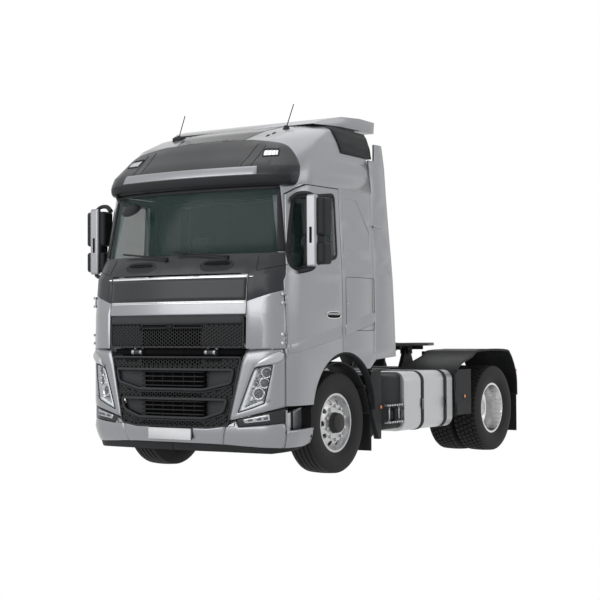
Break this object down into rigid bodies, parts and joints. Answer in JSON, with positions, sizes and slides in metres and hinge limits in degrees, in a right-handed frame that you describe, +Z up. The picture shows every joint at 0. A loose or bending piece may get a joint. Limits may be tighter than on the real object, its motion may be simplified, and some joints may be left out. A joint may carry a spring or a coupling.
{
  "type": "semi truck tractor unit",
  "caption": "Two-axle semi truck tractor unit with a high-roof tilting sleeper cab, opening doors and front lid, steered front wheels, twin rear wheels and a tilting fifth wheel.",
  "frame": {"origin": "on the ground at the middle of the overall length and width", "axes": "+Z up, the nose points along -Y, +X is the truck's left side"},
  "size_m": [2.994, 5.35, 3.7422],
  "materials": {
    "tyre": "matt rubber",
    "wheel_steel": "silver painted steel",
    "chassis_paint": "satin black paint",
    "cast_steel": "painted castings",
    "body_paint": "silver metallic paint",
    "dark_panel": "dark grey panels",
    "black_plastic": "grained black plastic",
    "plate": "blank white plate",
    "glass": "clear tinted glass",
    "dark_glass": "smoked hatch",
    "seat_fabric": "woven grey cloth",
    "dash_plastic": "soft dark plastic",
    "tank_aluminium": "brushed aluminium",
    "lamp_red": "red lens",
    "tread_plate": "tread plate",
    "coupling_steel": "greased black steel"
  },
  "bodies": {
    "chassis": {"frame_rails": "chassis_paint", "cross_members": "chassis_paint", "front_axle_beam": "chassis_paint", "front_springs": "chassis_paint", "rear_axle": "cast_steel", "rear_suspension": "chassis_paint", "engine_block": "cast_steel", "cab_mounts": "chassis_paint", "bumper": "body_paint", "lower_grille": "black_plastic", "headlamps": "body_paint", "number_plate": "plate", "entry_steps": "body_paint", "fuel_tank": "tank_aluminium", "tank_straps": "black_plastic", "battery_box": "black_plastic", "silencer_box": "tank_aluminium", "air_tank_box": "black_plastic", "front_mudguards": "black_plastic", "rear_wings": "black_plastic", "tail_lamps": "lamp_red", "walkway": "tread_plate", "coupling_base": "chassis_paint"},
    "cab": {"cab_floor": "chassis_paint", "cab_back_wall": "body_paint", "cab_side_walls": "body_paint", "cab_front": "body_paint", "cowl": "dark_panel", "roof_cap": "body_paint", "visor": "dark_panel", "roof_hatch": "dark_glass", "roof_vents": "black_plastic", "roof_spoiler": "body_paint", "side_deflectors": "body_paint", "windscreen": "glass", "seats": "seat_fabric", "dashboard": "dash_plastic", "bunk": "seat_fabric", "aerials": "black_plastic", "wipers": "black_plastic"},
    "front_lid": {"front_lid": "body_paint", "upper_grille": "black_plastic"},
    "door_left": {"door_left": "body_paint", "door_glass_left": "glass", "mirror_left": "black_plastic"},
    "door_right": {"door_right": "body_paint", "door_glass_right": "glass", "mirror_right": "black_plastic"},
    "knuckle_left": {"knuckle_left": "cast_steel"},
    "knuckle_right": {"knuckle_right": "cast_steel"},
    "tie_rod": {"tie_rod": "cast_steel"},
    "front_wheel_left": {"front_tyre_left": "tyre", "front_rim_left": "wheel_steel"},
    "front_wheel_right": {"front_tyre_right": "tyre", "front_rim_right": "wheel_steel"},
    "rear_wheels_left": {"rear_tyres_left": "tyre", "rear_rims_left": "wheel_steel"},
    "rear_wheels_right": {"rear_tyres_right": "tyre", "rear_rims_right": "wheel_steel"},
    "coupling_plate": {"coupling_plate": "coupling_steel"}
  },
  "joints": [
    {"name": "cab_tilt", "type": "hinge", "parent": "chassis", "child": "cab", "pos_m": [0, -2.595, 1.226], "axis": [1, 0, 0], "range_deg": [0, 60]},
    {"name": "front_lid_lift", "type": "hinge", "parent": "cab", "child": "front_lid", "pos_m": [0, -2.596, 1.954], "axis": [-1, 0, 0], "range_deg": [0, 85]},
    {"name": "door_left_swing", "type": "hinge", "parent": "cab", "child": "door_left", "pos_m": [1.187, -2.392, 1.5], "axis": [0, 0, -1], "range_deg": [0, 80]},
    {"name": "door_right_swing", "type": "hinge", "parent": "cab", "child": "door_right", "pos_m": [-1.187, -2.392, 1.5], "axis": [0, 0, 1], "range_deg": [0, 80]},
    {"name": "steer_left", "type": "hinge", "parent": "chassis", "child": "knuckle_left", "pos_m": [0.92, -1.43, 0.507], "axis": [0, 0, 1], "range_deg": [-40, 40]},
    {"name": "steer_right", "type": "hinge", "parent": "chassis", "child": "knuckle_right", "pos_m": [-0.92, -1.43, 0.507], "axis": [0, 0, 1], "range_deg": [-40, 40]},
    {"name": "tie_rod_left_end", "type": "hinge", "parent": "knuckle_left", "child": "tie_rod", "pos_m": [0.92, -1.25, 0.4], "axis": [0, 0, 1], "range_deg": [-40, 40]},
    {"name": "front_wheel_left_spin", "type": "hinge", "parent": "knuckle_left", "child": "front_wheel_left", "pos_m": [1.015, -1.43, 0.507], "axis": [1, 0, 0], "continuous": true},
    {"name": "front_wheel_right_spin", "type": "hinge", "parent": "knuckle_right", "child": "front_wheel_right", "pos_m": [-1.015, -1.43, 0.507], "axis": [1, 0, 0], "continuous": true},
    {"name": "rear_wheels_left_spin", "type": "hinge", "parent": "chassis", "child": "rear_wheels_left", "pos_m": [1.088, 1.97, 0.507], "axis": [1, 0, 0], "continuous": true},
    {"name": "rear_wheels_right_spin", "type": "hinge", "parent": "chassis", "child": "rear_wheels_right", "pos_m": [-1.088, 1.97, 0.507], "axis": [1, 0, 0], "continuous": true},
    {"name": "coupling_tilt", "type": "hinge", "parent": "chassis", "child": "coupling_plate", "pos_m": [0, 1.47, 1.195], "axis": [1, 0, 0], "range_deg": [-15, 15]}
  ],
  "couplings": [
    {"joint": "steer_right", "follows": "steer_left", "ratio": 1},
    {"joint": "tie_rod_left_end", "follows": "steer_left", "ratio": -1}
  ]
}
